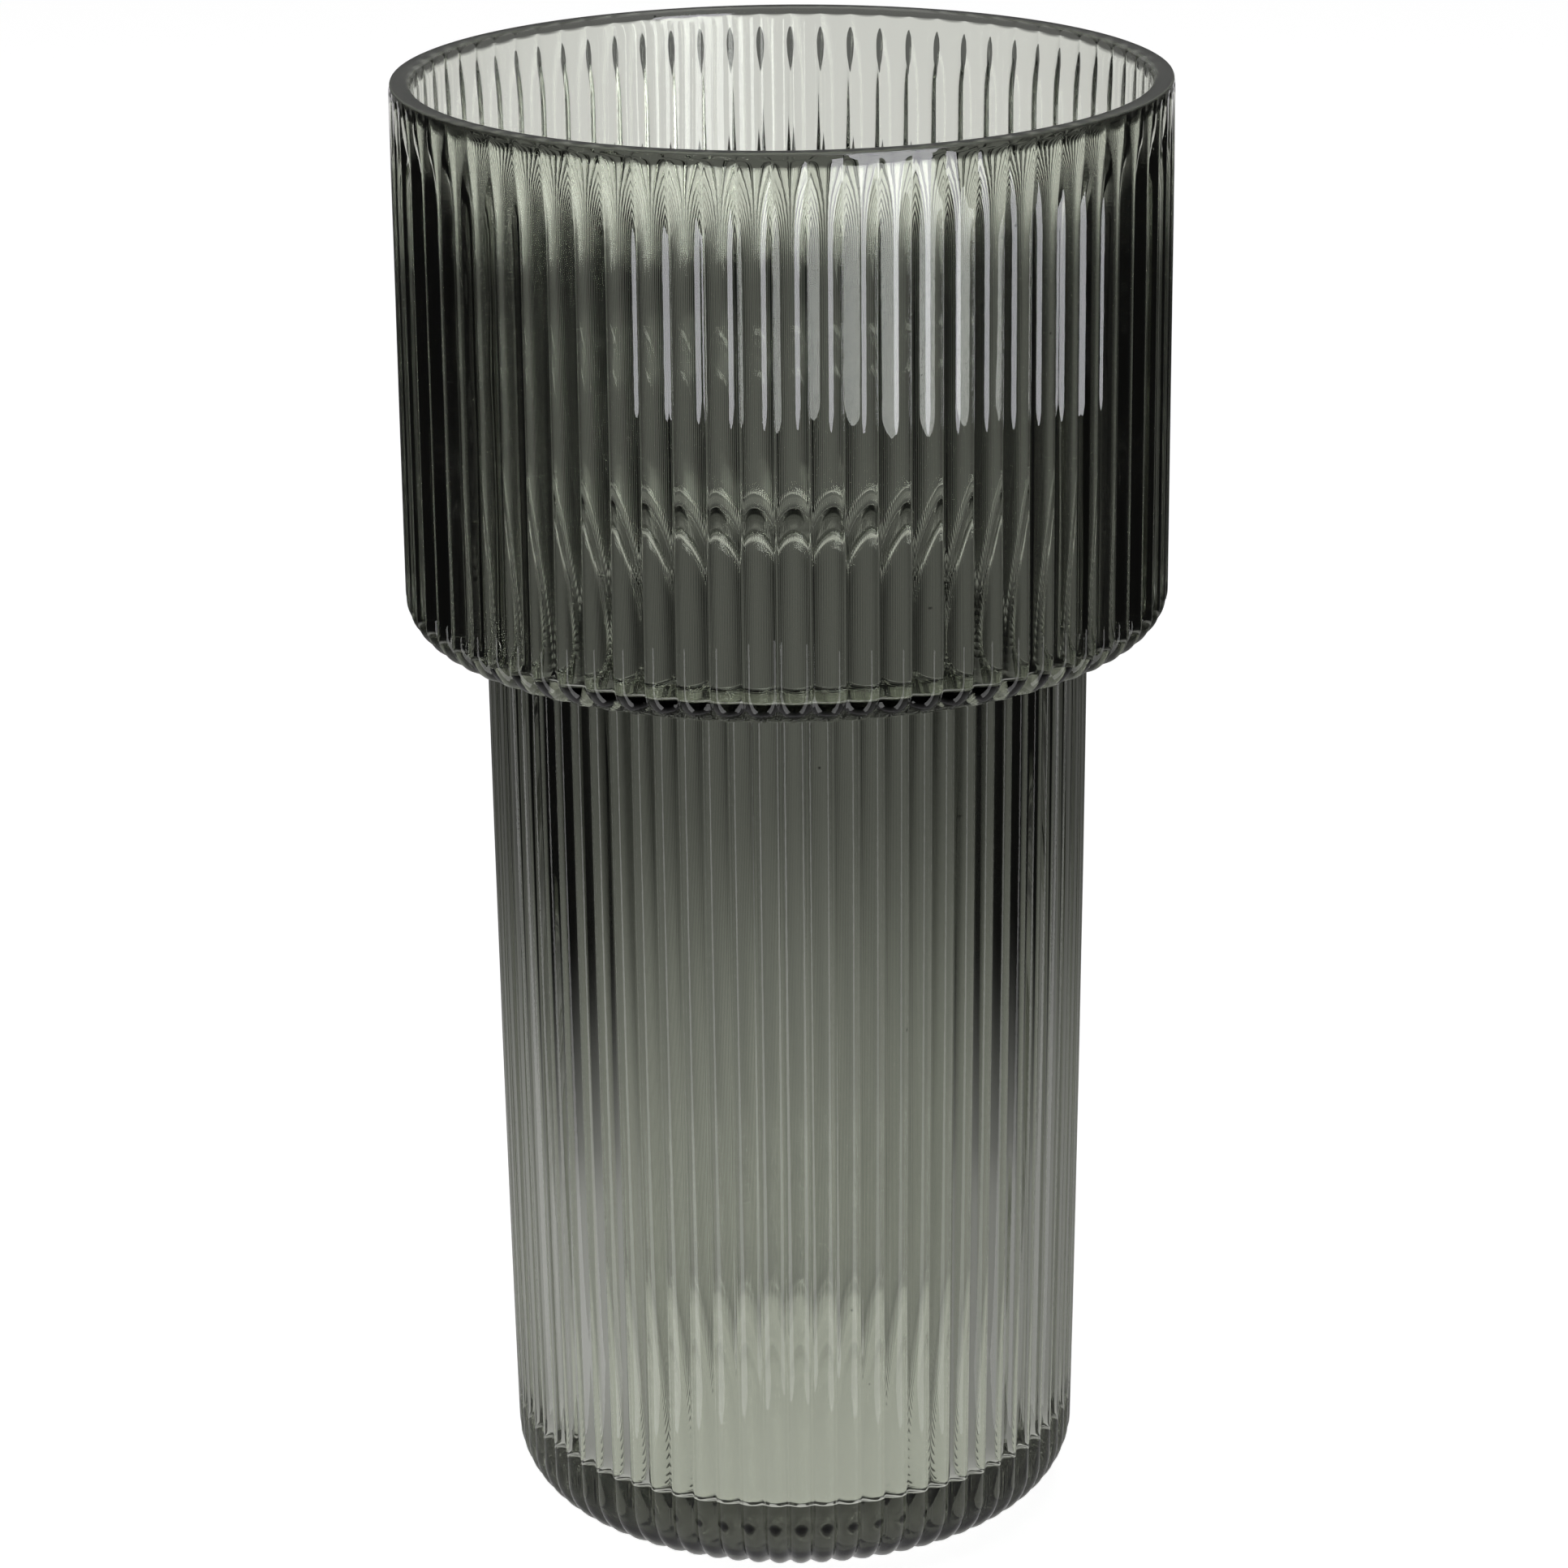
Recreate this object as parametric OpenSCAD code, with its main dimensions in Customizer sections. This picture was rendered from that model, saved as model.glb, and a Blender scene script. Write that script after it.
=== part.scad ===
// Ribbed glass cylinder vase: a wide upper cylinder steps down, over a rounded
// shoulder, to a narrower lower cylinder on a thick solid base.
// One moulded body of glass, held as five named sections that meet face to face.
// Millimetres. Origin: centre of the underside. +Z: up along the vase's axis.

/* [Overall] */
// Height of the vase, table to rim
height = 300; // [260:1:360]
// Height of the flat underside of the shoulder
shoulder_z = 189.3; // [150:0.1:210]

/* [Upper cylinder] */
// Outer diameter of the upper cylinder, over the ribs
upper_d = 154.2; // [140:0.1:180]
// Radius of the rounded corner under the upper cylinder
shoulder_r = 7.2; // [4:0.1:12]
// Thickness of the shoulder's glass
shoulder_t = 4.9; // [3:0.1:6]

/* [Lower cylinder] */
// Outer diameter just under the shoulder, over the ribs
lower_d_top = 122; // [110:0.1:130]
// Outer diameter above the base corner, over the ribs
lower_d_bottom = 118.3; // [108:0.1:130]
// Radius of the rounded corner under the base
base_r = 12.5; // [6:0.1:16]

/* [Glass] */
// Wall thickness of the upper cylinder, rib crest to inside
upper_wall = 4.5; // [3.5:0.1:6]
// Wall thickness at the top of the lower cylinder
lower_wall_top = 4.5; // [3:0.1:6]
// Wall thickness at the bottom of the lower cylinder
lower_wall_bottom = 5; // [3:0.1:8]
// Thickness of the solid floor
floor_t = 15.5; // [12:0.5:20]
// Radius of the corner inside the lower cylinder, wall to floor
floor_r = 2.5; // [2:0.5:6]
// Radius of the corner inside the upper cylinder, wall to shoulder
inner_corner_r = 0.8; // [0.6:0.2:5]
// Reach of the eased edge where the shoulder's ledge turns down into the lower cylinder
inner_edge_w = 8; // [3:0.5:9]

/* [Ribs] */
// Number of ribs round the vase
ribs = 74; // [48:2:96]
// Depth of the grooves between ribs on the upper cylinder
upper_groove = 1.5; // [0.6:0.05:1.8]
// Depth of the grooves between ribs on the lower cylinder
lower_groove = 1.35; // [0.5:0.05:1.5]

/* [Rim] */
// Height of the smooth ring above the ribs
rim_h = 1.6; // [1.5:0.1:6]
// How far the smooth ring stands back from the rib crests
rim_setback = 0.3; // [0:0.05:1]
// Radius of the rim's outer edge
rim_edge_r = 0.4; // [0.3:0.1:1]
// Radius of the rim's polished inner edge
rim_bevel_r = 1.3; // [0.5:0.1:1.4]

/* [Underside] */
// Depth of the shallow hollow under the base
punt_depth = 1.6; // [0.5:0.1:3]
// Diameter of the hollow
punt_d = 74; // [50:1:80]

/* [Hidden] */

glass = [0.43, 0.45, 0.41, 0.55];
pitch = 360 / ribs;
facets = 4;                                  // straight facets across one rib
upper_r = upper_d / 2;
upper_in = upper_r - upper_wall;
rim_z = height - rim_h;
shoulder_top = shoulder_z + 14.7;            // section line above the shoulder
base_top = floor_t + floor_r;                // section line above the floor
lower_in_top = lower_d_top / 2 - lower_wall_top;
lower_in_bottom = lower_d_bottom / 2 - lower_wall_bottom;
overlap = 1;                                 // cutters and ribs run past the section lines

// Outer radius of the lower cylinder at height z, over the ribs.
function lower_r(z) =
    lower_d_bottom / 2 + (lower_d_top - lower_d_bottom) / 2 * (z - base_r) / (shoulder_z - base_r);

// Radius of the round crest of a rib, from its crest radius and groove depth.
function rib_radius(crest, depth) =
    let (h = (crest - depth) * sin(pitch / 2),
         s = crest - (crest - depth) * cos(pitch / 2))
    (h * h + s * s) / (2 * s);

// How far the surface lies under the crest, at angle a from the rib's middle.
function rib_drop(crest, depth, a) =
    let (r = rib_radius(crest, depth), c = crest - r)
    crest - (c * cos(a) + sqrt(r * r - pow(c * sin(a), 2)));

// One ring of ribbed points. The surface at the crest stands at [cr, cz] plus
// corner radius r turned down by angle e, and the grooves sink along its normal.
function ring(cr, cz, r, e, crest, depth) =
    [for (i = [0 : ribs - 1], k = [0 : facets - 1])
        let (a = (k / facets - 0.5) * pitch,
             th = i * pitch + a,
             n = r - rib_drop(crest, depth, a),
             rad = cr + n * cos(e),
             z = cz - n * sin(e))
        [rad * cos(th), rad * sin(th), z]];

// A straight ring at height z.
function flat_ring(z, crest, depth) = ring(crest, z, 0, 0, crest, depth);

// A plain round ring of the inner surface, at radius r and height z.
inner_n = 2 * ribs;
function round_ring(r, z) =
    [for (i = [0 : inner_n - 1]) let (th = (i - 0.5) * 360 / inner_n) [r * cos(th), r * sin(th), z]];

// Triangles between two rings of the same count that start at points p and q.
function band(p, q, n) =
    [for (i = [0 : n - 1], h = [0, 1])
        let (j = (i + 1) % n)
        h == 0 ? [p + i, q + i, q + j] : [p + i, q + j, p + j]];

// Triangles between a ribbed ring that starts at p and a round ring, with half
// as many points, that starts at q.
function crown(p, q) =
    [for (i = [0 : inner_n - 1], h = [0, 1, 2])
        let (a = p + 2 * i, b = p + 2 * i + 1, c = p + (2 * i + 2) % (2 * inner_n),
             u = q + i, v = q + (i + 1) % inner_n)
        h == 0 ? [a, u, b] : h == 1 ? [b, u, v] : [b, v, c]];

// The same triangles facing the other way.
function flip(faces) = [for (f = faces) [f[2], f[1], f[0]]];

// Closed tube. outer lists ribbed rings from the lowest to the highest; inner
// lists round rings from the highest to the lowest.
module tube_shell(outer, inner) {
    n = 2 * inner_n;
    a = len(outer);
    b = len(inner);
    q = a * n;
    polyhedron(
        points = concat([for (r = outer) each r], [for (r = inner) each r]),
        faces = concat(
            [for (k = [0 : a - 2]) each band(k * n, (k + 1) * n, n)],
            crown((a - 1) * n, q),
            [for (k = [0 : b - 2]) each band(q + k * inner_n, q + (k + 1) * inner_n, inner_n)],
            flip(crown(0, q + (b - 1) * inner_n))),
        convexity = 6);
}

// Closed cup on a domed underside. outer and inner as for a tube; under lists
// round rings of the underside from the outermost inwards.
module cup_shell(outer, inner, under) {
    n = 2 * inner_n;
    a = len(outer);
    b = len(inner);
    c = len(under);
    q = a * n;
    w = q + b * inner_n;
    polyhedron(
        points = concat([for (r = outer) each r], [for (r = inner) each r],
                        [for (r = under) each r]),
        faces = concat(
            [for (k = [0 : a - 2]) each band(k * n, (k + 1) * n, n)],
            crown((a - 1) * n, q),
            [for (k = [0 : b - 2]) each band(q + k * inner_n, q + (k + 1) * inner_n, inner_n)],
            [[for (i = [inner_n - 1 : -1 : 0]) q + (b - 1) * inner_n + i]],
            flip(crown(0, w)),
            [for (k = [0 : c - 2]) each flip(band(w + k * inner_n, w + (k + 1) * inner_n, inner_n))],
            [[for (i = [0 : inner_n - 1]) w + (c - 1) * inner_n + i]]),
        convexity = 6);
}

// Points along a circular arc, for the profiles that are turned.
function arc(cx, cz, r, a0, a1, n) =
    [for (k = [0 : n])
        let (a = a0 + (a1 - a0) * k / n) [cx + r * cos(a), cz + r * sin(a)]];

// Smooth ground and polished ring that closes the wall at the mouth.
module rim_ring() {
    w = upper_wall - rim_setback;
    r = rim_edge_r;
    b = rim_bevel_r;
    color(glass)
    translate([0, 0, rim_z])
    rotate_extrude($fn = 180)
    translate([upper_in, 0])
    union() {
        square([w, rim_h - b]);
        translate([b, 0]) square([w - b, rim_h - r]);
        translate([b, 0]) square([w - b - r, rim_h]);
        translate([b, rim_h - b]) circle(r = b, $fn = 48);
        translate([w - r, rim_h - r]) circle(r = r, $fn = 32);
    }
}

// Straight upper cylinder: round ribs outside, smooth bore inside.
module upper_cylinder() {
    rr = rib_radius(upper_r, upper_groove);
    color(glass)
    translate([0, 0, shoulder_top])
    difference() {
        linear_extrude(rim_z - shoulder_top)
        union() {
            circle(r = upper_r - upper_groove - 0.4, $fn = 180);
            for (i = [0 : ribs - 1])
                rotate(i * pitch) translate([upper_r - rr, 0]) circle(r = rr, $fn = 48);
        }
        translate([0, 0, -overlap])
            cylinder(r = upper_in, h = rim_z - shoulder_top + 2 * overlap, $fn = 180);
    }
}

// Step from the upper to the lower cylinder. The ribs turn round its corner
// and run out on the flat underside; the ledge inside is smooth and rounded.
module shoulder_step() {
    cr = upper_r - shoulder_r;
    cz = shoulder_z + shoulder_r;
    fz = shoulder_z + shoulder_t;
    color(glass)
    tube_shell(
        concat(
            [for (e = [90, 68, 46, 23, 0])
                ring(cr, cz, shoulder_r, e, upper_r, upper_groove * min(1, (90 - e) / 40))],
            [flat_ring(shoulder_top, upper_r, upper_groove)]),
        [for (p = concat(
                [[upper_in, shoulder_top]],
                arc(upper_in - inner_corner_r, fz + inner_corner_r, inner_corner_r, 0, -90, 4),
                [for (p = arc(0, 0, 1, 90, 180, 5))
                    [lower_in_top + inner_edge_w + inner_edge_w * p[0], shoulder_z + shoulder_t * p[1]]]))
            round_ring(p[0], p[1])]);
}

// Slightly tapered lower cylinder: the same round ribs, drawn in closer and
// leaning with the wall, round a smooth tapered bore.
module lower_cylinder() {
    h = shoulder_z - base_top;
    r0 = lower_r(base_top);
    r1 = lower_r(shoulder_z);
    rr = rib_radius(r1, lower_groove);
    core = lower_groove + 0.3;
    lean = atan((r1 - r0) / h);
    slope = (lower_in_top - lower_in_bottom) / h;
    color(glass)
    difference() {
        intersection() {
            union() {
                translate([0, 0, base_top])
                    cylinder(r1 = r0 - core, r2 = r1 - core, h = h, $fn = 180);
                for (i = [0 : ribs - 1])
                    rotate(i * pitch) translate([r0 - rr, 0, base_top]) rotate([0, lean, 0])
                        translate([0, 0, -overlap])
                            cylinder(r = rr, h = h + 2 * overlap, $fn = 48);
            }
            translate([0, 0, base_top]) cylinder(r = r0 + r1, h = h, $fn = 180);
        }
        translate([0, 0, base_top - overlap])
            cylinder(r1 = lower_in_bottom - slope * overlap,
                     r2 = lower_in_top + slope * overlap,
                     h = h + 2 * overlap, $fn = 180);
    }
}

// Thick solid base. The ribs turn under its corner, the floor inside is
// smooth with a rounded edge, and a shallow hollow leaves a ring to stand on.
module base() {
    r0 = lower_d_bottom / 2;
    cr = r0 - base_r;
    pr = (pow(punt_d / 2, 2) + pow(punt_depth, 2)) / (2 * punt_depth);
    pa = asin(punt_d / 2 / pr);
    color(glass)
    cup_shell(
        concat(
            [for (e = [90, 68, 45, 22, 0])
                ring(cr, base_r, base_r, e, r0, lower_groove * min(1, (90 - e) / 22))],
            [flat_ring(base_top, lower_r(base_top), lower_groove)]),
        [for (p = arc(lower_in_bottom - floor_r, floor_t + floor_r, floor_r, 0, -90, 4))
            round_ring(p[0], p[1])],
        [for (p = [for (k = [0 : 3]) let (a = 90 - pa * (1 - k / 4))
                [pr * cos(a), punt_depth - pr + pr * sin(a)]])
            round_ring(p[0], p[1])]);
}

rim_ring();
upper_cylinder();
shoulder_step();
lower_cylinder();
base();
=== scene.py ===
# Ribbed smoke-grey glass vase. The CAD sections give every main size; this
# script builds the one seamless body of glass that they describe, its glass
# material, a pale floor, soft studio light and the camera.
import math

import bpy
import numpy as np
from mathutils import Euler, Matrix, Vector


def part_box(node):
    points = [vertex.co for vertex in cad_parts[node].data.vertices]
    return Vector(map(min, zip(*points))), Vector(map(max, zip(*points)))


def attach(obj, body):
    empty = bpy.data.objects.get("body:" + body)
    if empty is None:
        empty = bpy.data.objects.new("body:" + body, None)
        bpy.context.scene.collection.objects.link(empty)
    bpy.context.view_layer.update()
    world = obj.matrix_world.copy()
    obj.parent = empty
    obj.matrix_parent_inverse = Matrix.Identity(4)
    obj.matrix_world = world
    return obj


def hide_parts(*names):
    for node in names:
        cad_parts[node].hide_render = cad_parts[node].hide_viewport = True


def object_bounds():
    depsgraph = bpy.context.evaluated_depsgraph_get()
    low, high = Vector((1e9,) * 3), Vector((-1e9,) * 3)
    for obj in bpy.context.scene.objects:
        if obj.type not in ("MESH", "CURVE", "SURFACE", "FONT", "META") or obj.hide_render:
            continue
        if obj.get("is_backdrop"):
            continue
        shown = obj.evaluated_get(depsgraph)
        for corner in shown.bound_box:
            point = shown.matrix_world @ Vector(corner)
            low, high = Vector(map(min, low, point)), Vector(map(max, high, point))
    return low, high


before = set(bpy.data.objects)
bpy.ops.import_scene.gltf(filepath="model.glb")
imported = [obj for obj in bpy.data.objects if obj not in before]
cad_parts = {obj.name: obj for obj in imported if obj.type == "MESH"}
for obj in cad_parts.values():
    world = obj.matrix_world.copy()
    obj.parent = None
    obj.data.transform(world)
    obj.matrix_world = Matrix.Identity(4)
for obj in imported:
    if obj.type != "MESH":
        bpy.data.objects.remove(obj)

cad_lo, cad_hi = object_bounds()
MM = 0.001

# ---------------------------------------------------------------- sizes (mm)
RIBS = 74
PITCH = 2 * math.pi / RIBS


def node_box(name):
    lo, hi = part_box(name)
    return [v / MM for v in lo], [v / MM for v in hi]


HEIGHT = cad_hi[2] / MM
R_UP = node_box("upper_cylinder")[1][0]              # upper crest radius
R_RIM = node_box("rim_ring")[1][0]                   # smooth ring at the mouth
Z_SH = node_box("shoulder_step")[0][2]               # flat underside of the shoulder
R_LOW_TOP = node_box("lower_cylinder")[1][0]         # lower crest radius, top
R_LOW_BOT = node_box("base")[1][0]                   # lower crest radius, bottom
GROOVE_UP, GROOVE_LOW = 1.5, 1.35
CORNER_UP, CORNER_LOW = 7.2, 12.5
WALL_UP, WALL_LOW_TOP, WALL_LOW_BOT = 4.5, 4.5, 5.0
LEDGE_T, LEDGE_R, EDGE_W = 4.9, 0.8, 8.0
FLOOR_T, FLOOR_R = 15.5, 2.5
PUNT_R, PUNT_D = 37.0, 1.6


# ------------------------------------------------------------- the rib's shape
# Stations across one rib, 0 at a groove, 0.5 at the crest. The groove's bottom
# has a small radius, so the stations crowd there.
HALF = [0.0, 0.025, 0.08, 0.18, 0.33, 0.5]
STATIONS = np.array(HALF + [1 - t for t in HALF[-2:0:-1]])
PER_RIB = len(STATIONS)
N = RIBS * PER_RIB
THETA = ((np.arange(RIBS)[:, None] - 0.5 + STATIONS[None, :]) * PITCH).ravel()
T_ALL = np.tile(STATIONS, RIBS)


def rib_drop(crest, depth):
    """How far the surface lies under the crest at each station, in mm: a round
    rib between two grooves, and a small fillet in the groove."""
    a = (T_ALL - 0.5) * PITCH
    h = (crest - depth) * math.sin(PITCH / 2)
    s = crest - (crest - depth) * math.cos(PITCH / 2)
    r = (h * h + s * s) / (2 * s)
    c = crest - r
    drop = crest - (c * np.cos(a) + np.sqrt(np.maximum(r * r - (c * np.sin(a)) ** 2, 0)))
    d = np.minimum(T_ALL, 1 - T_ALL) * PITCH * crest          # distance from the groove
    slope = h / math.sqrt(max(r * r - h * h, 1e-6))
    w = 0.22
    fillet = depth - slope * w / 2 - slope * d * d / (2 * w)
    return np.where(d < w, np.minimum(drop, fillet), drop)


def ripple(theta, z, seed, amp):
    """The slow unevenness of blown and moulded glass, in mm."""
    rng = np.random.default_rng(seed)
    out = np.zeros_like(theta)
    for _ in range(14):
        m = rng.integers(2, 26)
        length = rng.uniform(22, 130)
        out += rng.uniform(0.4, 1.0) * np.cos(m * theta + 2 * math.pi * z / length + rng.uniform(0, 6.28))
    return amp * out / math.sqrt(14)


rows = []          # each row is an (N, 3) array in mm


def row(r, z, nr=1.0, nz=0.0, depth=0.0, fade=1.0, crest=None, wave=0.0, seed=1):
    """A ring at crest point (r, z) with outward normal (nr, nz) in the radial
    plane. Grooves of the given depth sink along that normal."""
    drop = rib_drop(crest or r, depth) * fade if depth else np.zeros(N)
    if wave:
        drop = drop + wave * (1.0 + ripple(THETA, z, seed, 1.0)) * 0.5
    rad = r - drop * nr
    zz = z - drop * nz
    rows.append(np.stack([rad * np.cos(THETA), rad * np.sin(THETA), zz + np.zeros(N)], axis=1))


def low_r(z):
    """Lower crest radius: the CAD's taper with a slight belly."""
    t = (z - CORNER_LOW) / (Z_SH - CORNER_LOW)
    return R_LOW_BOT + (R_LOW_TOP - R_LOW_BOT) * t + 0.9 * t * (1 - t) - 0.22 * (1 - t) ** 2


def smooth(t):
    t = min(1.0, max(0.0, t))
    return t * t * (3 - 2 * t)


# Underside, from the centre out: shallow hollow, then the ring it stands on.
pr = (PUNT_R ** 2 + PUNT_D ** 2) / (2 * PUNT_D)
for r in (2.0, 12.0, 22.0, 31.0, 35.5):
    row(r, PUNT_D - pr + math.sqrt(pr * pr - r * r), 0, -1)
row(PUNT_R + 1.2, 0.0, 0, -1)
r0 = low_r(CORNER_LOW)
c_low = r0 - CORNER_LOW
row(c_low - 4.0, 0.0, 0, -1)
# Rounded corner of the base, ribs running under it.
for e in (90, 82, 74, 66, 58, 50, 42, 34, 26, 17, 8):
    q = math.radians(e)
    row(c_low + CORNER_LOW * math.cos(q), CORNER_LOW - CORNER_LOW * math.sin(q),
        math.cos(q), -math.sin(q), GROOVE_LOW, smooth((92 - e) / 40), crest=r0)
# Lower cylinder.
fillet = 1.6
for z in np.linspace(CORNER_LOW, Z_SH - fillet - 0.8, 15):
    row(low_r(z), z, 1, 0, GROOVE_LOW, wave=0.03, seed=3)
# Small inside corner under the shoulder.
rt = low_r(Z_SH)
for e in (0, 30, 60, 90):
    q = math.radians(e)
    row(rt + fillet - fillet * math.cos(q), Z_SH - fillet + fillet * math.sin(q),
        math.cos(q), -math.sin(q), GROOVE_LOW if e < 90 else 0.0, 1 - smooth(e / 90.0), crest=rt)
# Flat underside of the shoulder, then its rounded ribbed corner.
c_up = R_UP - CORNER_UP
row(rt + fillet + 3.0, Z_SH, 0, -1)
for e in (90, 82, 74, 66, 58, 50, 42, 34, 26, 17, 8):
    q = math.radians(e)
    row(c_up + CORNER_UP * math.cos(q), Z_SH + CORNER_UP - CORNER_UP * math.sin(q),
        math.cos(q), -math.sin(q), GROOVE_UP, smooth((86 - e) / 26), crest=R_UP)
# Upper cylinder. The fire-polished end has shallower grooves.
arch_lo, arch_hi = HEIGHT - 2.8, HEIGHT - 1.05


def mouth_fade(z):
    return 0.22 + 0.78 * smooth((arch_lo - z) / 15.0)


for z in (Z_SH + CORNER_UP, 214.0, 232.0, 250.0, 266.0, 281.0, 284.0, 287.0, 289.5, 292.0, 294.0, 295.8, arch_lo):
    row(R_UP, z, 1, 0, GROOVE_UP, mouth_fade(z), wave=0.03, seed=5)
# Ribs end in round arches under the rim's smooth ring.
for k in (0.4, 0.7, 0.9, 1.0):
    z = arch_lo + (arch_hi - arch_lo) * k
    f = math.sqrt(max(0.0, 1 - k * k))
    row(R_RIM + (R_UP - R_RIM) * f, z, 1, 0, GROOVE_UP if f > 0 else 0.0, 0.22 * f, crest=R_UP)
# Rim: small outer radius, flat ground top, wide polished inner bevel.
r_in = R_UP - WALL_UP
for e in (0, 45, 90):
    q = math.radians(e)
    row(R_RIM - 0.4 + 0.4 * math.cos(q), HEIGHT - 0.4 + 0.4 * math.sin(q), 0, 1)
bev = 1.35
for e in (90, 66, 44, 22, 0):
    q = math.radians(e)
    row(r_in + bev - bev * math.cos(q), HEIGHT - bev + bev * math.sin(q), -1, 0)
# Inside of the upper cylinder, down to the ledge.
z_ledge = Z_SH + LEDGE_T
for z in np.linspace(HEIGHT - 4.0, z_ledge + LEDGE_R + 2.0, 8):
    row(r_in, z, -1, 0, wave=0.05, seed=7)
for e in (0, 30, 60, 90):
    q = math.radians(e)
    row(r_in - LEDGE_R + LEDGE_R * math.cos(q), z_ledge + LEDGE_R - LEDGE_R * math.sin(q), -math.cos(q), math.sin(q))
rin_t = rt - WALL_LOW_TOP
for e in (90, 78, 66, 54, 42, 30, 18, 0):
    q = math.radians(e)
    row(rin_t + EDGE_W - EDGE_W * math.cos(q), Z_SH + LEDGE_T * math.sin(q), -math.cos(q), math.sin(q))
# Inside of the lower cylinder, down to the floor.
rin_b = low_r(20) - WALL_LOW_BOT
z_t, z_b = Z_SH, FLOOR_T + FLOOR_R
for z in np.linspace(z_t - 4, z_b + 3, 12):
    row(rin_b + (rin_t - rin_b) * (z - z_b) / (z_t - z_b), z, -1, 0, wave=0.05, seed=11)
for e in (0, 18, 36, 54, 72, 90):
    q = math.radians(e)
    row(rin_b - FLOOR_R + FLOOR_R * math.cos(q), FLOOR_T + FLOOR_R - FLOOR_R * math.sin(q), -math.cos(q), math.sin(q))
for r in (36.0, 22.0, 10.0, 2.0):
    row(r, FLOOR_T + 0.25 * (r / 36.0) ** 2, 0, 1)

# ----------------------------------------------------------- one closed mesh
M = len(rows)
verts = np.concatenate(rows + [np.array([[0, 0, PUNT_D], [0, 0, FLOOR_T]])]) * MM
bottom, top = M * N, M * N + 1
i = np.arange(N)
j = (i + 1) % N
quads = np.concatenate([np.stack([k * N + i, k * N + j, (k + 1) * N + j, (k + 1) * N + i], axis=1) for k in range(M - 1)])
tris = np.concatenate([
    np.stack([np.full(N, bottom), j, i], axis=1),
    np.stack([np.full(N, top), (M - 1) * N + i, (M - 1) * N + j], axis=1)])
mesh = bpy.data.meshes.new("vase_glass")
n_loops = quads.size + tris.size
mesh.vertices.add(len(verts))
mesh.vertices.foreach_set("co", verts.astype(np.float32).ravel())
mesh.loops.add(n_loops)
mesh.loops.foreach_set("vertex_index", np.concatenate([quads.ravel(), tris.ravel()]).astype(np.int32))
mesh.polygons.add(len(quads) + len(tris))
starts = np.concatenate([np.arange(len(quads)) * 4, quads.size + np.arange(len(tris)) * 3]).astype(np.int32)
mesh.polygons.foreach_set("loop_start", starts)
mesh.update(calc_edges=True)
mesh.validate()
for p in mesh.polygons:
    p.use_smooth = True
vase = bpy.data.objects.new("vase_glass", mesh)
bpy.context.scene.collection.objects.link(vase)


# ---------------------------------------------------------------- the glass
def node(nt, kind, **values):
    n = nt.nodes.new(kind)
    for k, v in values.items():
        setattr(n, k, v)
    return n


def math_node(nt, op, a, b=None, clamp=False):
    n = node(nt, "ShaderNodeMath", operation=op, use_clamp=clamp)
    for s, v in ((0, a), (1, b)):
        if v is None:
            continue
        if isinstance(v, (int, float)):
            n.inputs[s].default_value = v
        else:
            nt.links.new(v, n.inputs[s])
    return n.outputs[0]


def ramp(nt, value, lo, hi):
    """0 below lo, 1 above hi, smooth between."""
    n = node(nt, "ShaderNodeMapRange", interpolation_type="SMOOTHSTEP", clamp=True)
    nt.links.new(value, n.inputs["Value"])
    n.inputs["From Min"].default_value, n.inputs["From Max"].default_value = lo, hi
    return n.outputs[0]


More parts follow.
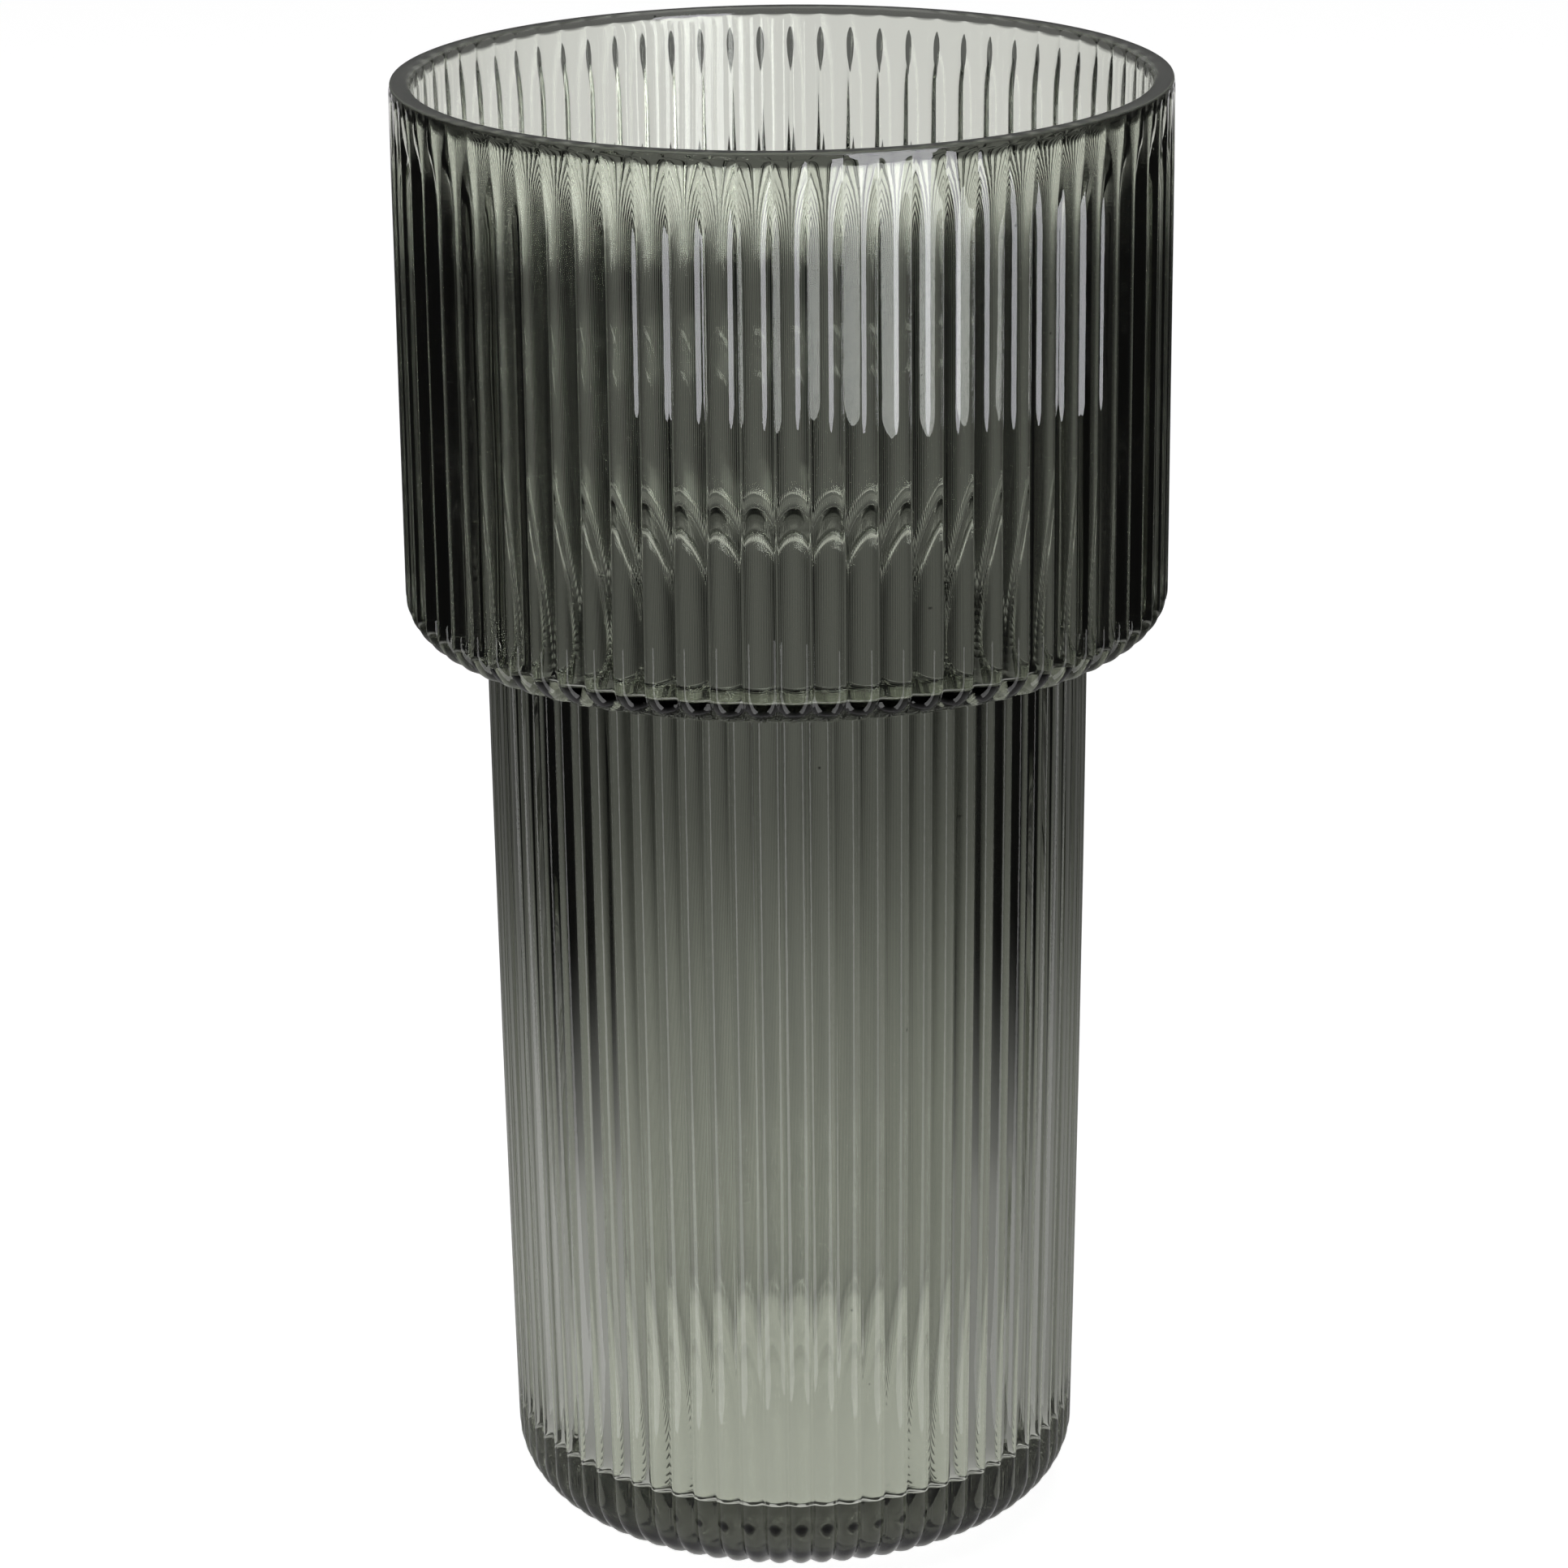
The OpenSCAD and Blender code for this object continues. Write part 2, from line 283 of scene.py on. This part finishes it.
def smoke_glass():
    mat = bpy.data.materials.new("smoke_glass")
    mat.use_nodes = True
    nt = mat.node_tree
    nt.nodes.clear()
    out = node(nt, "ShaderNodeOutputMaterial")
    p = node(nt, "ShaderNodeBsdfPrincipled")
    p.inputs["Base Color"].default_value = (1, 1, 1, 1)
    p.inputs["Transmission Weight"].default_value = 1.0
    p.inputs["IOR"].default_value = 1.5
    p.inputs["Roughness"].default_value = 0.0
    nt.links.new(p.outputs[0], out.inputs["Surface"])
    vol = node(nt, "ShaderNodeVolumeAbsorption")
    vol.inputs["Color"].default_value = (0.13, 0.15, 0.06, 1)
    vol.inputs["Density"].default_value = 14.0
    nt.links.new(vol.outputs[0], out.inputs["Volume"])

    geo = node(nt, "ShaderNodeTexCoord")
    xyz = node(nt, "ShaderNodeSeparateXYZ")
    nt.links.new(geo.outputs["Object"], xyz.inputs[0])
    x, y, z = xyz.outputs

    # Slow draw lines of the mould, stretched along the height.
    stretch = node(nt, "ShaderNodeMapping")
    stretch.inputs["Scale"].default_value = (1, 1, 0.16)
    nt.links.new(geo.outputs["Object"], stretch.inputs[0])
    draw = node(nt, "ShaderNodeTexNoise")
    draw.inputs["Scale"].default_value = 260
    draw.inputs["Detail"].default_value = 2.0
    nt.links.new(stretch.outputs[0], draw.inputs["Vector"])
    # Fine orange-peel of the chilled skin.
    skin = node(nt, "ShaderNodeTexNoise")
    skin.inputs["Scale"].default_value = 900
    skin.inputs["Detail"].default_value = 1.5
    nt.links.new(geo.outputs["Object"], skin.inputs["Vector"])
    height = math_node(nt, "ADD", math_node(nt, "MULTIPLY", draw.outputs[0], 1.0),
                       math_node(nt, "MULTIPLY", skin.outputs[0], 0.12))
    # Seeds: a few tiny bubbles.
    seeds = node(nt, "ShaderNodeTexVoronoi")
    seeds.inputs["Scale"].default_value = 62
    nt.links.new(geo.outputs["Object"], seeds.inputs["Vector"])
    seed_dot = math_node(nt, "SUBTRACT", 1.0, ramp(nt, seeds.outputs["Distance"], 0.010, 0.028))
    bump = node(nt, "ShaderNodeBump")
    bump.inputs["Strength"].default_value = 1.0
    bump.inputs["Distance"].default_value = 0.000002
    nt.links.new(height, bump.inputs["Height"])
    nt.links.new(bump.outputs[0], p.inputs["Normal"])
    # Seeds read as dark specks.
    mix = node(nt, "ShaderNodeMix", data_type="RGBA")
    mix.inputs[6].default_value = (0.921, 0.946, 0.868, 1)
    mix.inputs[7].default_value = (0.12, 0.12, 0.11, 1)
    nt.links.new(seed_dot, mix.inputs[0])
    nt.links.new(mix.outputs[2], p.inputs["Base Color"])
    # The rim's flat top is ground, so it is a little matt.
    top_z = ramp(nt, z, (HEIGHT - 0.7) * MM, (HEIGHT - 0.2) * MM)
    rough = math_node(nt, "MULTIPLY", top_z, 0.30)
    nt.links.new(rough, p.inputs["Roughness"])
    return mat


mesh.materials.append(smoke_glass())
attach(vase, "root")
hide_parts("rim_ring", "upper_cylinder", "shoulder_step", "lower_cylinder", "base")

# ---------------------------------------------------------------- the camera
TURN = math.radians(1.50)          # the camera stands this far round from -Y
spin = Matrix.Rotation(TURN, 4, "Z")
DIST, CAM_Z, PITCH_DOWN, ROLL, SIDE, FOCAL = 974.2, 486.5, 0.330, -0.0103, -0.98, 6174.4
cam_data = bpy.data.cameras.new("camera")
cam_data.sensor_width = 36.0
cam_data.lens = FOCAL / 1932 * 36.0
cam_data.clip_start, cam_data.clip_end = 0.01, 100
cam = bpy.data.objects.new("camera", cam_data)
bpy.context.scene.collection.objects.link(cam)
aim = Euler((math.pi / 2 - PITCH_DOWN, 0, 0)).to_matrix().to_4x4()
cam.matrix_world = spin @ Matrix.Translation((SIDE * MM, -DIST * MM, CAM_Z * MM)) @ aim @ Matrix.Rotation(ROLL, 4, "Z")
bpy.context.scene.camera = cam


# --------------------------------------------------------------- the studio
def plane(name, size, place, look=None):
    me = bpy.data.meshes.new(name)
    w, h = size[0] / 2, size[1] / 2
    me.from_pydata([(-w, -h, 0), (w, -h, 0), (w, h, 0), (-w, h, 0)], [], [(0, 1, 2, 3)])
    o = bpy.data.objects.new(name, me)
    bpy.context.scene.collection.objects.link(o)
    m = Matrix.Translation(place)
    if look is not None:
        m = m @ (Vector(look) - Vector(place)).to_track_quat("Z", "Y").to_matrix().to_4x4()
    o.matrix_world = spin @ m
    o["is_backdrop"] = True
    return o


def hide_from_camera(o):
    o.visible_camera = False
    o.visible_diffuse = False
    o.visible_shadow = False


def glow(name, colour, strength):
    mat = bpy.data.materials.new(name)
    mat.use_nodes = True
    nt = mat.node_tree
    nt.nodes.clear()
    out = node(nt, "ShaderNodeOutputMaterial")
    em = node(nt, "ShaderNodeEmission")
    em.inputs["Color"].default_value = (*colour, 1)
    em.inputs["Strength"].default_value = strength
    nt.links.new(em.outputs[0], out.inputs["Surface"])
    return mat, nt, em


# Pale floor that the camera sees.
floor = plane("floor", (9, 9), (0, 0, -0.0004))
fm = bpy.data.materials.new("pale_floor")
fm.use_nodes = True
fp = fm.node_tree.nodes["Principled BSDF"]
fp.inputs["Base Color"].default_value = (0.9, 0.9, 0.9, 1)
fp.inputs["Roughness"].default_value = 0.8
fp.inputs["Specular IOR Level"].default_value = 0.1
fp.inputs["Emission Color"].default_value = (1, 1, 1, 1)
fp.inputs["Emission Strength"].default_value = 0.93
floor.data.materials.append(fm)
floor.visible_transmission = False
floor.visible_glossy = False

# The same floor as the glass sees it: a lit patch under and behind the vase.
table = plane("floor_glow", (9, 9), (0, 0, -0.0008))
tm, nt, em = glow("floor_glow", (1, 0.99, 1), 1.0)
tc = node(nt, "ShaderNodeTexCoord")
sx = node(nt, "ShaderNodeSeparateXYZ")
nt.links.new(tc.outputs["Object"], sx.inputs[0])
ax = math_node(nt, "ABSOLUTE", sx.outputs[0])
spread = math_node(nt, "SUBTRACT", ax, math_node(nt, "MULTIPLY", sx.outputs[1], 0.15))
side = math_node(nt, "SUBTRACT", 1.0, ramp(nt, spread, 0.15, 0.38))
front = ramp(nt, sx.outputs[1], -0.15, -0.05)
far = node(nt, "ShaderNodeVectorMath", operation="LENGTH")
nt.links.new(tc.outputs["Object"], far.inputs[0])
disc = math_node(nt, "SUBTRACT", 1.0, ramp(nt, far.outputs["Value"], 0.36, 0.42))
disc = math_node(nt, "MULTIPLY", disc, math_node(nt, "SUBTRACT", 1.0, ramp(nt, ax, 0.20, 0.30)))
lit = math_node(nt, "MULTIPLY", math_node(nt, "MAXIMUM", side, disc), front)
under = math_node(nt, "SUBTRACT", 1.0, ramp(nt, far.outputs["Value"], 0.040, 0.095))
sweep = math_node(nt, "MULTIPLY", ramp(nt, sx.outputs[1], 1.08, 1.40), 0.60)
away = ramp(nt, far.outputs["Value"], 0.14, 0.45)
level = math_node(nt, "SUBTRACT", math_node(nt, "ADD", math_node(nt, "MULTIPLY", under, 0.40), 0.25),
                  math_node(nt, "MULTIPLY", away, 0.125))
level = math_node(nt, "ADD", level, sweep)
left = ramp(nt, math_node(nt, "MULTIPLY", sx.outputs[0], -1.0), 0.05, 0.13)
level = math_node(nt, "ADD", level, math_node(nt, "MULTIPLY", left, math_node(nt, "SUBTRACT", 0.10, math_node(nt, "MULTIPLY", away, 0.10))))
nt.links.new(math_node(nt, "ADD", math_node(nt, "MULTIPLY", lit, level), 0.004), em.inputs["Strength"])
table.data.materials.append(tm)
hide_from_camera(table)

back = plane("back_card", (1.7, 0.10), (-0.03, 1.3, 0.05), (-0.03, 0, 0.05))
back.data.materials.append(glow("back_card", (1, 0.985, 1), 0.72)[0])
hide_from_camera(back)

key = plane("key_card", (0.42, 0.8), (0.46, -0.79, 0.40), (0, 0, 0.25))
key.data.materials.append(glow("key_card", (0.95, 0.95, 1.0), 7.0)[0])
hide_from_camera(key)

dim = plane("dim_card", (1.7, 0.4), (-0.03, 1.3, 0.30), (-0.03, 0, 0.30))
dim.data.materials.append(glow("dim_card", (1, 1, 1), 0.13)[0])
hide_from_camera(dim)

over = plane("over_card", (2.4, 2.4), (0, 0.2, 1.3), (0, 0.2, 0))
over.data.materials.append(glow("over_card", (1, 1, 1), 0.12)[0])
hide_from_camera(over)

high = plane("high_card", (1.6, 0.5), (0, 1.6, 0.85), (0, 0, 0.3))
high.data.materials.append(glow("high_card", (1, 1, 1), 0.35)[0])
hide_from_camera(high)
high.visible_transmission = False

# Two lit strips of the table beside the vase, which the ribs' flanks mirror.
for name, s, strength in (("strip_left", -1, 1.9), ("strip_right", 1, 1.5)):
    strip = plane(name, (0.55, 0.08), (s * 0.329, -0.193, 0.0006))
    strip.matrix_world = strip.matrix_world @ Matrix.Rotation(s * math.radians(-22), 4, "Z")
    strip.data.materials.append(glow(name, (1, 1, 1), strength)[0])
    hide_from_camera(strip)
    strip.visible_transmission = False

for name, place, size, power, colour in (
        ("top_light", (0.0, 0.3, 1.9), 1.4, 6.0, (1, 1, 1)),
        ("left_light", (-1.3, -0.6, 1.2), 0.8, 2.5, (1, 1, 1))):
    ld = bpy.data.lights.new(name, "AREA")
    ld.size = size
    ld.energy = power
    ld.color = colour
    lo = bpy.data.objects.new(name, ld)
    bpy.context.scene.collection.objects.link(lo)
    p = Vector(place)
    lo.matrix_world = spin @ Matrix.Translation(p) @ (p - Vector((0, 0, 0.1))).to_track_quat("Z", "Y").to_matrix().to_4x4()
    lo.visible_camera = False
    lo.visible_glossy = False
    lo.visible_transmission = False

world = bpy.data.worlds.new("studio")
bpy.context.scene.world = world
world.use_nodes = True
nt = world.node_tree
bg = nt.nodes["Background"]
bg.inputs["Strength"].default_value = 1.0
path = node(nt, "ShaderNodeLightPath")
mix = node(nt, "ShaderNodeMix", data_type="RGBA")
mix.inputs[6].default_value = (0.005, 0.005, 0.0055, 1)
mix.inputs[7].default_value = (1, 1, 1, 1)
nt.links.new(path.outputs["Is Camera Ray"], mix.inputs[0])
nt.links.new(mix.outputs[2], bg.inputs["Color"])

sc = bpy.context.scene
sc.view_settings.view_transform = "Standard"
sc.view_settings.look = "None"
sc.cycles.max_bounces = 24
sc.cycles.transmission_bounces = 20
sc.cycles.glossy_bounces = 12
sc.cycles.transparent_max_bounces = 8
sc.cycles.use_denoising = True

lo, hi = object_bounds()
